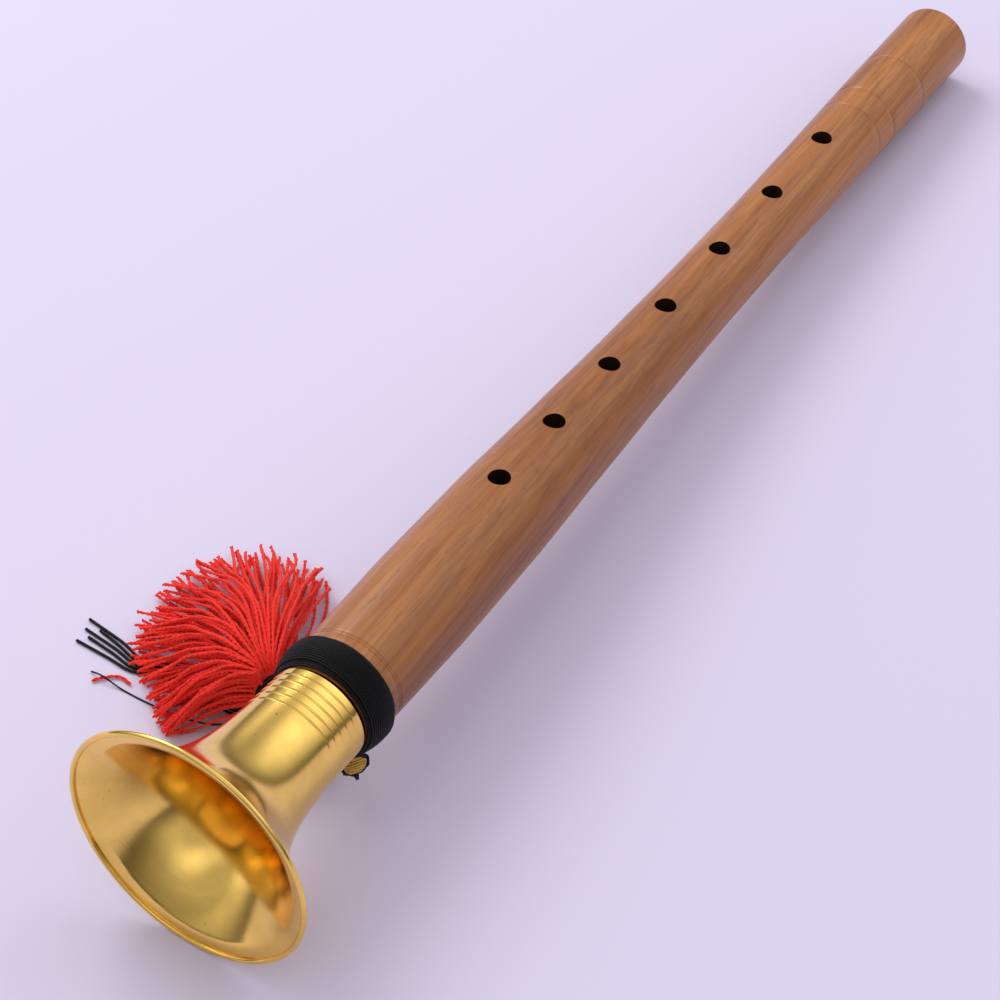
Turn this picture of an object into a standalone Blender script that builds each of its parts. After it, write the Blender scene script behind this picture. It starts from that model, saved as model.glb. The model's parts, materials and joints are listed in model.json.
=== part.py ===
"""Shehnai with a wooden pipe, a spun brass bell, a thread binding, a yarn tassel and a small pendant.

Metres, +Z up. The instrument lies on a table at z = 0, on its bell's rim and its top end, with the
bell mouth towards -X and the finger holes up. The origin is the middle of its footprint.
Places along the pipe are measured from the bell's mouth.
"""

from math import acos, asin, atan2, cos, exp, hypot, pi, radians, sin, tan

import bmesh
import bpy
from mathutils import Matrix, Vector

# Fits shared by all pieces
SEAT_GAP = 0.0003
SIDES = 40
THREAD_SIDES = 1
MERGE = 0.00001

# Pipe, turned from one piece of wood
LENGTH = 0.430
SHOULDER_PLACE = 0.0580
SHOULDER_RADIUS = 0.0142
SEAT_END = 0.0690
SEAT_RADIUS = 0.0155
SWELL_PLACE = 0.105
SWELL_RADIUS = 0.01605
WAIST_PLACE = 0.307
WAIST_RADIUS = 0.01145
HEAD_PLACE = 0.389
END_RADIUS = 0.0121
END_ROUNDING = 0.0012
TAPER_POWER = 0.8

# Bore, a straight cone that opens towards the bell
BORE_TOP_RADIUS = 0.0042
BORE_FOOT_RADIUS = 0.0078

# Tenon that carries the bell, turned a little askew to the pipe
TENON_LENGTH = 0.0210
TENON_RADIUS = 0.0118
TENON_SKEW = radians(1.7)
TENON_CHAMFER = 0.0008
LAPPING_LENGTH = 0.0150
LAPPING_THICKNESS = 0.0009

# Seven finger holes, each place measured from the bell's mouth
HOLE_RADIUS = 0.0033
HOLE_SIDES = 20
HOLE_PLACES = (0.1465, 0.1762, 0.2076, 0.2411, 0.2749, 0.3093, 0.3432)

# Bell, spun from sheet brass
COLLAR_GAP = 0.0008
MOUTH_RADIUS = 0.0362
LIP_RADIUS = 0.0008
FLARE_LENGTH = 0.0132
FLARE_POWER = 1.1
FLARE_STEPS = (2.9, 2.4, 1.95, 1.55, 1.2, 0.9, 0.62, 0.38, 0.18)
LIP_TURN = radians(243)
LIP_POINTS = 7
WALL = 0.0010
GROOVE_COUNT = 5
GROOVE_FIRST = 0.0438
GROOVE_PITCH = 0.0027
GROOVE_DEPTH = 0.00025
GROOVE_WIDTH = 0.0006

# Thread binding over the joint between bell and pipe
THREAD = 0.0008
LOOPS = 8
POINTS_A_LOOP = 24
BINDING_EDGE = 0.0003
HEAP = 0.0009
KNOT_SIZE = (0.0030, 0.0024, 0.0026)
KNOT_ANGLE = radians(98)
KNOT_PLACE = 0.0660

# Tassel of yarn, which lies fanned on the table beside the bell
NECK_HEIGHT = 0.0200
NECK_OUT = 0.0210
HEAD_RADIUS = 0.0050
HEAD_BACK = 0.0025
NECK_RADIUS = 0.0036
TIE_THREAD = 0.0014
SKIRT_RADIUS = 0.0063
FAN_DIRECTION = radians(72)
HANGER = 0.0014
# Each tuft's direction from the pipe's line, half of its spread and its length
TUFTS = (
    (radians(24), radians(6), 0.061),
    (radians(36), radians(6), 0.071),
    (radians(48), radians(6), 0.072),
    (radians(60), radians(6), 0.067),
    (radians(72), radians(6), 0.062),
    (radians(84), radians(6), 0.055),
    (radians(95.5), radians(4.5), 0.044),
    (radians(115.5), radians(7), 0.033),
)
# Shares of a tuft's reach, with the height of its top and of its underside there
TUFT_SECTIONS = (
    (0.00, 0.0255, 0.0150),
    (0.18, 0.0285, 0.0115),
    (0.42, 0.0265, 0.0060),
    (0.65, 0.0190, 0.0020),
    (0.86, 0.0105, 0.0000),
    (1.00, 0.0045, 0.0000),
)
# A tuft's cross-section, as shares of its half width and half height
TUFT_SECTION = ((-1, -0.6), (-0.55, -1), (0.55, -1), (1, -0.6), (1, 0.6), (0.55, 1), (-0.55, 1), (-1, 0.6))
TUFT_GAP = 0.0005
TUFTS_OVER_TAILS = (4, 5)
STRAY_YARN = 0.0012
STRAY_ROUTE = ((-0.0050, 0.0462), (-0.0044, 0.0503), (-0.0068, 0.0539), (-0.0096, 0.0561))

# Loose ends of the tie, which lie on the table; each route is (along, out, height) from under the neck
TAIL = 0.0009
TAIL_PITCH = 0.0013
TAIL_ROUTE = (
    (0.0010, 0.0034, 0.0112),
    (0.0018, 0.0105, 0.0045),
    (0.0036, 0.0190, 0.0000),
    (0.0062, 0.0300, 0.0000),
    (0.0044, 0.0400, 0.0000),
    (0.0016, 0.0490, 0.0000),
)
TAIL_SPREAD = 0.0570
TAIL_ENDS = ((0.0086, 0.0706), (0.0068, 0.0655), (0.0051, 0.0693), (0.0030, 0.0668), (0.0003, 0.0689))
THIN_THREAD = 0.0005
THIN_START = -0.0041
THIN_ROUTE = (
    (-0.0031, 0.0040, 0.0120),
    (-0.0036, 0.0110, 0.0048),
    (-0.0050, 0.0190, 0.0000),
    (-0.0072, 0.0280, 0.0000),
    (-0.0078, 0.0375, 0.0000),
    (-0.0076, 0.0470, 0.0000),
    (-0.0074, 0.0540, STRAY_YARN + SEAT_GAP),
    (-0.0067, 0.0585, 0.0000),
)
FLOOR_GAP = 0.0001

# Pendant, a bead wound with gilt thread, which hangs under the binding
PENDANT_PLACE = 0.0638
PENDANT_ANGLE = radians(-158)
PENDANT_DROP = 0.0062
BEAD_RADIUS = 0.0031
BEAD_THICKNESS = 0.0030
EDGING = 0.0010
PENDANT_CORD = 0.0009
PENDANT_TURN = radians(-35)

# Resting attitude: the rim's and the top end's lowest points both touch the table
FLAT = cos(pi / SIDES)
RIM_RADIUS = MOUTH_RADIUS + LIP_RADIUS
LEAN = atan2((RIM_RADIUS - END_RADIUS) * FLAT, LENGTH - END_ROUNDING - LIP_RADIUS)
MOUTH_HEIGHT = RIM_RADIUS * FLAT * cos(LEAN) + LIP_RADIUS * sin(LEAN)
TASSEL_REACH = NECK_OUT + max(length * sin(direction) for direction, _, length in TUFTS)
MOUTH_SHIFT = SHOULDER_PLACE * sin(TENON_SKEW)
AXIS_SIDE = -(TASSEL_REACH - RIM_RADIUS + MOUTH_SHIFT) / 2
MOUTH_PLACE = -(LENGTH * cos(LEAN) - (RIM_RADIUS - END_RADIUS) * sin(LEAN)) / 2

TIE_RADIUS = NECK_RADIUS + SEAT_GAP + TIE_THREAD / 2
TIE_PLACE = HEAD_RADIUS * cos(asin((NECK_RADIUS + SEAT_GAP) / HEAD_RADIUS)) - HEAD_BACK + SEAT_GAP + TIE_THREAD / 2
SKIRT_PLACE = TIE_PLACE + TIE_THREAD / 2 + SEAT_GAP
FAN_START = SKIRT_RADIUS + SEAT_GAP

COLLAR_EDGE = SHOULDER_PLACE - COLLAR_GAP
COLLAR_RADIUS = SHOULDER_RADIUS + SEAT_GAP
TENON_END = SHOULDER_PLACE - TENON_LENGTH
LAPPING_INNER = TENON_RADIUS + SEAT_GAP
LAPPING_OUTER = LAPPING_INNER + LAPPING_THICKNESS


def between(a, b, share):
    """The value a share of the way from a to b."""
    return a + (b - a) * share


def eased(share):
    """A share that starts and ends level, as a turned curve does."""
    return (1 - cos(pi * share)) / 2


def pipe_radius(place):
    """The pipe's outer radius at a place along it."""
    if place <= SEAT_END:
        share = (place - SHOULDER_PLACE) / (SEAT_END - SHOULDER_PLACE)
        return between(SHOULDER_RADIUS, SEAT_RADIUS, share)
    if place <= SWELL_PLACE:
        share = (place - SEAT_END) / (SWELL_PLACE - SEAT_END)
        return between(SEAT_RADIUS, SWELL_RADIUS, eased(share))
    if place <= WAIST_PLACE:
        share = (place - SWELL_PLACE) / (WAIST_PLACE - SWELL_PLACE)
        return between(SWELL_RADIUS, WAIST_RADIUS, eased(share**TAPER_POWER))
    share = min(1.0, (place - WAIST_PLACE) / (HEAD_PLACE - WAIST_PLACE))
    return between(WAIST_RADIUS, END_RADIUS, eased(share))


def bore_radius(place):
    """The bore's radius at a place along the pipe."""
    return between(BORE_FOOT_RADIUS, BORE_TOP_RADIUS, (place - TENON_END) / (LENGTH - TENON_END))


def bell_radius(place):
    """The bell's outer radius at a place along it."""
    flare = (MOUTH_RADIUS - COLLAR_RADIUS) * exp(-((place / FLARE_LENGTH) ** FLARE_POWER))
    return COLLAR_RADIUS + flare


def bell_normal(place):
    """The outward unit normal of the bell's outline, as (radius, place)."""
    after = place + SEAT_GAP
    before = max(0.0, place - SEAT_GAP)
    slope = (bell_radius(after) - bell_radius(before)) / (after - before)
    return 1 / hypot(1, slope), -slope / hypot(1, slope)


def spaced(start, end, count):
    """Evenly spaced values from start to end, both included."""
    return [between(start, end, i / (count - 1)) for i in range(count)]


def clear_scene():
    """Remove what a new file holds."""
    for old in list(bpy.data.objects):
        bpy.data.objects.remove(old)


def new_collection(name):
    group = bpy.data.collections.new(name)
    bpy.context.scene.collection.children.link(group)
    return group


def new_material(name, colour, roughness, metallic=0.0):
    """A plain finish in the part's own colour."""
    material = bpy.data.materials.new(name)
    material.use_nodes = True
    shader = material.node_tree.nodes["Principled BSDF"]
    shader.inputs["Base Color"].default_value = (*colour, 1.0)
    shader.inputs["Roughness"].default_value = roughness
    shader.inputs["Metallic"].default_value = metallic
    return material


def add_frame(name, group, parent=None, location=(0, 0, 0), rotation=None):
    """An empty that carries pieces at a place and a turn."""
    frame = bpy.data.objects.new(name, None)
    group.objects.link(frame)
    frame.parent = parent
    frame.matrix_local = Matrix.Translation(location) @ (rotation or Matrix())
    return frame


def add_object(name, data, group, parent, material=None):
    piece = bpy.data.objects.new(name, data)
    group.objects.link(piece)
    piece.parent = parent
    if material:
        data.materials.append(material)
    return piece


def turned(name, profile, group, parent, material=None, closed=True, steps=SIDES):
    """A piece turned from (radius, place) points that run down its outer side."""
    mesh = bpy.data.meshes.new(name)
    points = [(radius, 0.0, place) for radius, place in profile]
    edges = [(i, i + 1) for i in range(len(points) - 1)]
    if closed:
        edges.append((len(points) - 1, 0))
    mesh.from_pydata(points, edges, [])
    piece = add_object(name, mesh, group, parent, material)
    piece.rotation_euler.z = pi / steps
    screw = piece.modifiers.new("Turn", "SCREW")
    screw.steps = steps
    screw.render_steps = steps
    screw.use_merge_vertices = True
    screw.merge_threshold = MERGE
    screw.use_smooth_shade = True
    return piece


def cut(piece, cutter, operation="DIFFERENCE"):
    """Cut or join a piece with another, which then stays as a hidden guide."""
    boolean = piece.modifiers.new(cutter.name, "BOOLEAN")
    boolean.operation = operation
    boolean.solver = "EXACT"
    boolean.object = cutter
    cutter.hide_render = True
    cutter.display_type = "WIRE"


def tube(name, points, diameter, group, parent, material, resolution=2):
    """A round cord along points, with capped ends."""
    curve = bpy.data.curves.new(name, "CURVE")
    curve.dimensions = "3D"
    curve.bevel_depth = diameter / 2
    curve.bevel_resolution = resolution
    curve.use_fill_caps = True
    spline = curve.splines.new("POLY")
    spline.points.add(len(points) - 1)
    for i, point in enumerate(points):
        spline.points[i].co = (*point, 1.0)
    return add_object(name, curve, group, parent, material)


def smooth_route(points, step):
    """Points every step or so on a smooth curve through the given ones."""
    knots = [Vector(p) for p in points]
    knots = [knots[0] * 2 - knots[1]] + knots + [knots[-1] * 2 - knots[-2]]
    route = [knots[1]]
    for a, b, c, d in zip(knots, knots[1:], knots[2:], knots[3:]):
        count = max(1, round((c - b).length / step))
        for i in range(1, count + 1):
            t = i / count
            rise = (a * 2 - b * 5 + c * 4 - d) * t**2
            bend = (b * 3 - a - c * 3 + d) * t**3
            route.append((b * 2 + (c - a) * t + rise + bend) / 2)
    return route


def make_pipe(group, cutters, axis, foot, wood):
    """The pipe with its tenon, bore and finger holes."""
    rounding = [
        (END_RADIUS - END_ROUNDING * (1 - sin(a)), LENGTH - END_ROUNDING * (1 - cos(a)))
        for a in spaced(0, pi / 2, 4)
    ]
    places = (
        spaced(HEAD_PLACE, WAIST_PLACE, 4)
        + spaced(WAIST_PLACE, SWELL_PLACE, 12)[1:]
        + spaced(SWELL_PLACE, SEAT_END, 3)[1:]
        + [SHOULDER_PLACE]
    )
    outline = [(0.0, LENGTH)] + rounding + [(pipe_radius(p), p) for p in places] + [(0.0, SHOULDER_PLACE)]
    pipe = turned("pipe_body", outline, group, axis, wood, closed=False)

    inside = SHOULDER_PLACE + TENON_CHAMFER
    tenon = turned(
        "tenon_form",
        [
            (0.0, inside),
            (TENON_RADIUS, inside),
            (TENON_RADIUS, TENON_END + TENON_CHAMFER),
            (TENON_RADIUS - TENON_CHAMFER, TENON_END),
            (0.0, TENON_END),
        ],
        cutters,
        foot,
        closed=False,
    )
    cut(pipe, tenon, "UNION")

    run_out = TENON_CHAMFER
    upper_bore = turned(
        "upper_bore_form",
        [
            (0.0, LENGTH + run_out),
            (bore_radius(LENGTH), LENGTH + run_out),
            (bore_radius(LENGTH), LENGTH),
            (bore_radius(SHOULDER_PLACE), SHOULDER_PLACE),
            (0.0, SHOULDER_PLACE),
        ],
        cutters,
        axis,
        closed=False,
        steps=SIDES // 2,
    )
    cut(pipe, upper_bore)
    lower_bore = turned(
        "lower_bore_form",
        [
            (0.0, SHOULDER_PLACE + run_out),
            (bore_radius(SHOULDER_PLACE), SHOULDER_PLACE + run_out),
            (bore_radius(SHOULDER_PLACE), SHOULDER_PLACE),
            (bore_radius(TENON_END), TENON_END - run_out),
            (0.0, TENON_END - run_out),
        ],
        cutters,
        foot,
        closed=False,
        steps=SIDES // 2,
    )
    cut(pipe, lower_bore)
    cut(pipe, make_hole_cutters(cutters, axis))
    return pipe


def make_hole_cutters(cutters, axis):
    """One drill for each finger hole, from outside the wall into the bore."""
    mesh = bpy.data.meshes.new("finger_hole_forms")
    drills = bmesh.new()
    for place in HOLE_PLACES:
        reach = pipe_radius(place) + HOLE_RADIUS
        turn = Matrix.Rotation(-pi / 2, 4, "Y")
        where = Matrix.Translation((-reach / 2, 0, place))
        bmesh.ops.create_cone(
            drills,
            cap_ends=True,
            segments=HOLE_SIDES,
            radius1=HOLE_RADIUS,
            radius2=HOLE_RADIUS,
            depth=reach,
            matrix=where @ turn,
        )
    drills.to_mesh(mesh)
    drills.free()
    return add_object("finger_hole_forms", mesh, cutters, axis)


def make_lapping(group, foot, thread):
    """Waxed thread lapped round the tenon, on which the bell is pushed."""
    high = COLLAR_EDGE
    low = high - LAPPING_LENGTH
    ease = LAPPING_THICKNESS / 3
    profile = [
        (LAPPING_INNER, high),
        (LAPPING_OUTER - ease, high),
        (LAPPING_OUTER, high - ease),
        (LAPPING_OUTER, low + ease),
        (LAPPING_OUTER - ease, low),
        (LAPPING_INNER, low),
    ]
    return turned("tenon_lapping", profile, group, foot, thread)


def make_bell(group, foot, brass):
    """The spun bell: a thin flared wall, a rolled lip and five grooves round its collar."""
    grooves = []
    for i in reversed(range(GROOVE_COUNT)):
        middle = GROOVE_FIRST + i * GROOVE_PITCH
        for offset, depth in ((GROOVE_WIDTH / 2, 0.0), (0.0, GROOVE_DEPTH), (-GROOVE_WIDTH / 2, 0.0)):
            grooves.append((bell_radius(middle + offset) - depth, middle + offset))
    flare_places = [FLARE_LENGTH * step for step in FLARE_STEPS]
    outer = [(bell_radius(COLLAR_EDGE), COLLAR_EDGE)] + grooves + [(bell_radius(p), p) for p in flare_places]

    lip = []
    lean_out = atan2(*reversed(bell_normal(LIP_RADIUS)))
    for a in spaced(lean_out, lean_out - LIP_TURN, LIP_POINTS):
        lip.append((MOUTH_RADIUS + LIP_RADIUS * cos(a), LIP_RADIUS + LIP_RADIUS * sin(a)))

    inner = []
    for place in reversed(flare_places[1:]):
        across, along = bell_normal(place)
        inner.append((bell_radius(place) - WALL * across, place - WALL * along))
    collar_inner = LAPPING_OUTER + SEAT_GAP
    inner.append((max(collar_inner, bell_radius(TENON_END) - WALL), TENON_END))
    inner.append((collar_inner, COLLAR_EDGE - LAPPING_LENGTH))
    inner.append((collar_inner, COLLAR_EDGE))
    return turned("bell", outer + lip + inner, group, foot, brass)


def binding_place(share):
    """The place along the pipe of the winding's middle line, a share of its way up."""
    low = SHOULDER_PLACE + BINDING_EDGE + THREAD / 2
    high = SEAT_END - THREAD / 2
    return between(low, high, share)


def binding_under(share):
    """The radius on which the winding lies, a share of the way up."""
    return pipe_radius(binding_place(share)) + SEAT_GAP + HEAP * sin(pi * share)


def make_binding_core(group, axis, thread):
    """The inner layers of the binding, which fill it out under the winding."""
    shares = spaced(0.88, 0.12, 7)
    outer = [(binding_under(share), binding_place(share)) for share in shares]
    inner = [(pipe_radius(binding_place(share)) + SEAT_GAP, binding_place(share)) for share in (0.10, 0.90)]
    return turned("binding_core", outer + inner, group, axis, thread)


def winding_points():
    """The outer layer of the binding, one unbroken helix over the core."""
    points = []
    count = LOOPS * POINTS_A_LOOP
    for i in range(count + 1):
        share = i / count
        angle = 2 * pi * i / POINTS_A_LOOP + KNOT_ANGLE
        radius = binding_under(share) + SEAT_GAP + THREAD / 2
        points.append(Vector((-radius * cos(angle), radius * sin(angle), binding_place(share))))
    return points


def least_gap(points, diameter):
    """The smallest clear distance between turns that lie next to each other."""
    nearest = min(
        (points[i] - points[j]).length
        for i in range(len(points))
        for j in range(i + POINTS_A_LOOP // 2, min(len(points), i + 2 * POINTS_A_LOOP))
    )
    return nearest - diameter


def make_winding(group, axis, thread):
    points = winding_points()
    print(f"binding winding: least gap to itself {least_gap(points, THREAD) * 1000:.2f} mm")
    return tube("binding_winding", points, THREAD, group, axis, thread, resolution=THREAD_SIDES)


def on_binding(angle, place, clearance):
    """A point outside the binding, in the pipe's frame; angle 0 is up, positive towards the tassel."""
    share = (place - binding_place(0)) / (binding_place(1) - binding_place(0))
    radius = binding_under(share) + SEAT_GAP + THREAD + clearance
    return Vector((-radius * cos(angle), radius * sin(angle), place))


def make_knot(group, axis, thread):
    """The knot that closes the binding and carries the tassel."""
    mesh = bpy.data.meshes.new("binding_knot")
    ball = bmesh.new()
    bmesh.ops.create_icosphere(ball, subdivisions=2, radius=0.5)
    centre = on_binding(KNOT_ANGLE, KNOT_PLACE, SEAT_GAP + KNOT_SIZE[1] / 2)
    turn = Matrix.Rotation(pi / 2 + KNOT_ANGLE, 4, "Z").inverted()
    size = Matrix.Diagonal((KNOT_SIZE[0], KNOT_SIZE[1], KNOT_SIZE[2], 1.0))
    bmesh.ops.transform(ball, matrix=Matrix.Translation(centre) @ turn @ size, verts=ball.verts)
    ball.to_mesh(mesh)
    ball.free()
    mesh.shade_smooth()
    return add_object("binding_knot", mesh, group, axis, thread)


def make_tassel_head(group, neck, yarn):
    """The folded top of the yarn, its neck, which runs through the tie, and where it swells out again."""
    skirt_angle = acos(SKIRT_PLACE / SKIRT_RADIUS)
    skirt = [(SKIRT_RADIUS * sin(a), SKIRT_RADIUS * cos(a)) for a in spaced(0, skirt_angle, 5)]
    dome_angle = asin(NECK_RADIUS / HEAD_RADIUS)
    dome = [(HEAD_RADIUS * sin(a), HEAD_RADIUS * cos(a) - HEAD_BACK) for a in spaced(dome_angle, pi, 8)]
    profile = skirt + [(NECK_RADIUS, SKIRT_PLACE)] + dome
    return turned("tassel_head", profile, group, neck, yarn, closed=False, steps=SIDES // 2)


def round_section(radius, place, thickness, count):
    """The closed outline of a ring of round stuff, down its outer side."""
    angles = [pi / 2 - 2 * pi * i / count for i in range(count)]
    return [(radius + thickness / 2 * cos(a), place + thickness / 2 * sin(a)) for a in angles]


def make_tassel_tie(group, neck, thread):
    """The thread ring that draws the yarn together at the neck."""
    profile = round_section(TIE_RADIUS, TIE_PLACE, TIE_THREAD, 8)
    return turned("tassel_tie", profile, group, neck, thread, steps=SIDES // 2)


def under_tie(sideways, thickness):
    """Where a thread starts under the tie, sideways of the neck's line, in the fan's frame."""
    out = Vector((cos(FAN_DIRECTION), sin(FAN_DIRECTION), 0))
    across = Vector((sin(FAN_DIRECTION), -cos(FAN_DIRECTION), 0))
    reach = TIE_RADIUS + TIE_THREAD / 2 + SEAT_GAP + thickness / 4
    drop = reach * cos(asin(sideways / reach))
    return out * TIE_PLACE + across * sideways + Vector((0, 0, NECK_HEIGHT - drop))


def make_tuft(name, direction, spread, length, lift, group, table, yarn):
    """One tuft of the fan: a crowned wedge of yarn from the tie out to its cut ends."""
    mesh = bpy.data.meshes.new(name)
    form = bmesh.new()
    rings = []
    for share, top, low in TUFT_SECTIONS:
        reach = between(FAN_START, length, share)
        half = reach * tan(spread) - TUFT_GAP / 2
        low = max(low, lift)
        middle = (top + low) / 2
        rise = max((top - low) / 2, half / 4)
        ring = []
        for across, up in TUFT_SECTION:
            along = reach * cos(direction) - across * half * sin(direction)
            side = reach * sin(direction) + across * half * cos(direction)
            ring.append(form.verts.new((along, side, middle + up * rise)))
        edges = [form.edges.new((ring[i], ring[(i + 1) % len(ring)])) for i in range(len(ring))]
        if rings:
            bmesh.ops.bridge_loops(form, edges=rings[-1][1] + edges)
        rings.append((ring, edges))
    form.faces.new(rings[0][0])
    form.faces.new(rings[-1][0])
    bmesh.ops.recalc_face_normals(form, faces=form.faces)
    form.to_mesh(mesh)
    form.free()
    mesh.shade_smooth()
    tuft = add_object(name, mesh, group, table, yarn)
    soft = tuft.modifiers.new("Soft", "SUBSURF")
    soft.levels = 1
    soft.render_levels = 1
    return tuft


def make_tassel(group, neck, fan, yarn, thread):
    make_tassel_head(group, neck, yarn)
    make_tassel_tie(group, neck, thread)
    over_tails = FLOOR_GAP + TAIL + SEAT_GAP
    for i, (direction, spread, length) in enumerate(TUFTS):
        lift = over_tails if i in TUFTS_OVER_TAILS else 0.0
        make_tuft(f"yarn_tuft_{i + 1}", direction, spread, length, lift, group, fan, yarn)
    on_table = STRAY_YARN / 2 + FLOOR_GAP
    route = smooth_route([(x, y, on_table) for x, y in STRAY_ROUTE], STRAY_YARN * 2)
    tube("stray_yarn", route, STRAY_YARN, group, fan, yarn)


def make_hanger(group, table, start, end, thread):
    """The short cord from the knot to the tassel's head."""
    drop = Vector((0, 0, (start.z - end.z) / 4))
    route = smooth_route([start, start - drop, end + drop, end], HANGER / 2)
    tube("tassel_hanger", route, HANGER, group, table, thread)


def make_tails(group, fan, thread):
    """The tie's loose ends: five that lie together under the fan, and a thin one beside it."""
    on_table = TAIL / 2 + FLOOR_GAP
    for i, (end_x, end_y) in enumerate(TAIL_ENDS):
        beside = (len(TAIL_ENDS) // 2 - i) * TAIL_PITCH
        knots = [under_tie(beside, TAIL)]
        knots += [(x + beside, y, z + on_table) for x, y, z in TAIL_ROUTE]
        knots.append((between(TAIL_ROUTE[-1][0] + beside, end_x, 0.5), TAIL_SPREAD, on_table))
        knots.append((end_x, end_y, on_table))
        tube(f"thread_tail_{i + 1}", smooth_route(knots, TAIL * 3), TAIL, group, fan, thread)

    on_table = THIN_THREAD / 2 + FLOOR_GAP
    knots = [under_tie(THIN_START, THIN_THREAD)] + [(x, y, z + on_table) for x, y, z in THIN_ROUTE]
    tube("thin_thread", smooth_route(knots, THIN_THREAD * 3), THIN_THREAD, group, fan, thread)


def make_pendant(group, hook, thread, gilt):
    """A bead wound with gilt thread in a black edging, on a loop under the binding."""
    facing = Matrix.Rotation(PENDANT_TURN, 4, "Z") @ Matrix.Rotation(pi / 2, 4, "X")
    bead = add_frame("bead_place", group, hook, (0, 0, -PENDANT_DROP), facing)
    half = BEAD_THICKNESS / 2
    lens = [(BEAD_RADIUS * sin(a), half * cos(a)) for a in spaced(0, pi, 9)]
    turned("gilt_bead", lens, group, bead, gilt, closed=False, steps=SIDES // 2)

    ring = BEAD_RADIUS + SEAT_GAP + EDGING / 2
    turned("bead_edging", round_section(ring, 0.0, EDGING, 6), group, bead, thread, steps=SIDES // 2)

    top = -PENDANT_DROP + ring + EDGING / 2 + SEAT_GAP
    route = [(0, 0, -SEAT_GAP), (0, 0, top)]
    tube("pendant_cord", route, PENDANT_CORD, group, hook, thread)


def main():
    clear_scene()
    group = new_collection("shehnai")
    cutters = new_collection("cutters")

    wood = new_material("oiled_wood", (0.33, 0.13, 0.05), 0.42)
    brass = new_material("polished_brass", (0.80, 0.55, 0.20), 0.16, 1.0)
    black = new_material("black_thread", (0.012, 0.012, 0.014), 0.75)
    red = new_material("red_yarn", (0.85, 0.02, 0.015), 0.80)
    gilt = new_material("gilt_thread", (0.75, 0.42, 0.05), 0.35, 0.8)

    table = add_frame("table_under_mouth", group, None, (MOUTH_PLACE, AXIS_SIDE, 0))
    lying = Matrix.Rotation(pi / 2 + LEAN, 4, "Y")
    axis = add_frame("pipe_axis", group, table, (0, 0, MOUTH_HEIGHT), lying)
    bend = add_frame("tenon_bend", group, axis, (0, 0, SHOULDER_PLACE), Matrix.Rotation(TENON_SKEW, 4, "X"))
    foot = add_frame("tenon_axis", group, bend, (0, 0, -SHOULDER_PLACE))

    make_pipe(group, cutters, axis, foot, wood)
    make_lapping(group, foot, black)
    make_bell(group, foot, brass)
    make_binding_core(group, axis, black)
    make_winding(group, axis, black)
    make_knot(group, axis, black)

    axis_in_table = Matrix.Translation((0, 0, MOUTH_HEIGHT)) @ lying
    knot = axis_in_table @ on_binding(KNOT_ANGLE, KNOT_PLACE, SEAT_GAP + KNOT_SIZE[1] / 2)
    neck_at = Vector((knot.x, NECK_OUT, NECK_HEIGHT))
    fan = add_frame("fan_place", group, table, (neck_at.x, neck_at.y, 0))
    along_neck = Matrix.Rotation(FAN_DIRECTION, 4, "Z") @ Matrix.Rotation(pi / 2, 4, "Y")
    neck = add_frame("neck_axis", group, table, neck_at, along_neck)
    make_tassel(group, neck, fan, red, black)
    below_knot = knot - Vector((0, 0, KNOT_SIZE[0] / 2 + SEAT_GAP))
    head_top = neck_at + Vector((0, 0, HEAD_RADIUS + SEAT_GAP))
    make_hanger(group, table, below_knot, head_top, black)
    make_tails(group, fan, black)

    hook_at = axis_in_table @ on_binding(PENDANT_ANGLE, PENDANT_PLACE, SEAT_GAP)
    hook = add_frame("pendant_hook", group, table, hook_at)
    make_pendant(group, hook, black, gilt)


if __name__ == "__main__":
    main()
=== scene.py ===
"""Looks for a shehnai: wooden pipe, brass bell, thread binding, yarn tassel and pendant."""

import json
from math import asin, atan2, cos, exp, hypot, pi, radians, sin, sqrt
from random import Random

import bmesh
import bpy
from bpy.props import FloatProperty, FloatVectorProperty, IntProperty, PointerProperty
from mathutils import Matrix, Vector


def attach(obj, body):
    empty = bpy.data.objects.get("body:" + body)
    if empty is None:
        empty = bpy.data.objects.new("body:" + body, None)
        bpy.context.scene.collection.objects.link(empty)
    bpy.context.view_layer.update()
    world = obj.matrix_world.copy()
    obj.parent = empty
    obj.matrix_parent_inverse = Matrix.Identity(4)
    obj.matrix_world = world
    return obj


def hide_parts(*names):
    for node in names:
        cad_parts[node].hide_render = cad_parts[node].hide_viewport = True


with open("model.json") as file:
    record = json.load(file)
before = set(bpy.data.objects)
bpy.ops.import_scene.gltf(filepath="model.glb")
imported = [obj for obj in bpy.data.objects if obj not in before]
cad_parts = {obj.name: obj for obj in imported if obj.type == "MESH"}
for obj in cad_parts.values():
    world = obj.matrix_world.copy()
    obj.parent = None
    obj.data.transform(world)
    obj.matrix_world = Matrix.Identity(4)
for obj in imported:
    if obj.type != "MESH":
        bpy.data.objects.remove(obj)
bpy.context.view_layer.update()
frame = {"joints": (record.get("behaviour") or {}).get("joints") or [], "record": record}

bl_info = {
    "name": "Shehnai looks",
    "version": (1, 0, 0),
    "blender": (4, 5, 0),
    "location": "View3D > Sidebar > Shehnai",
    "description": "Dresses the shehnai's frame with wood, brass, thread and yarn",
    "category": "Object",
}

# Shared with the frame: two fits in metres, and how many sides its round parts have
SEAT_GAP = 0.0003
FLOOR_GAP = 0.0001
FRAME_SIDES = 40

# How tables are eased between their rows, and how turned shapes are merged and shaded
ROW_EASE = 0.35
MERGE_DISTANCE = 0.000002
SHARP_ANGLE = radians(38)

# Plain values for materials, and the sockets of a mix node that is set to colours
EVEN = (1, 1, 1)
WHITE = (1, 1, 1)
BLACK = (0, 0, 0)
MIX_FACTOR = 0
MIX_FIRST = 6
MIX_SECOND = 7
MIX_RESULT = 2

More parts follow.
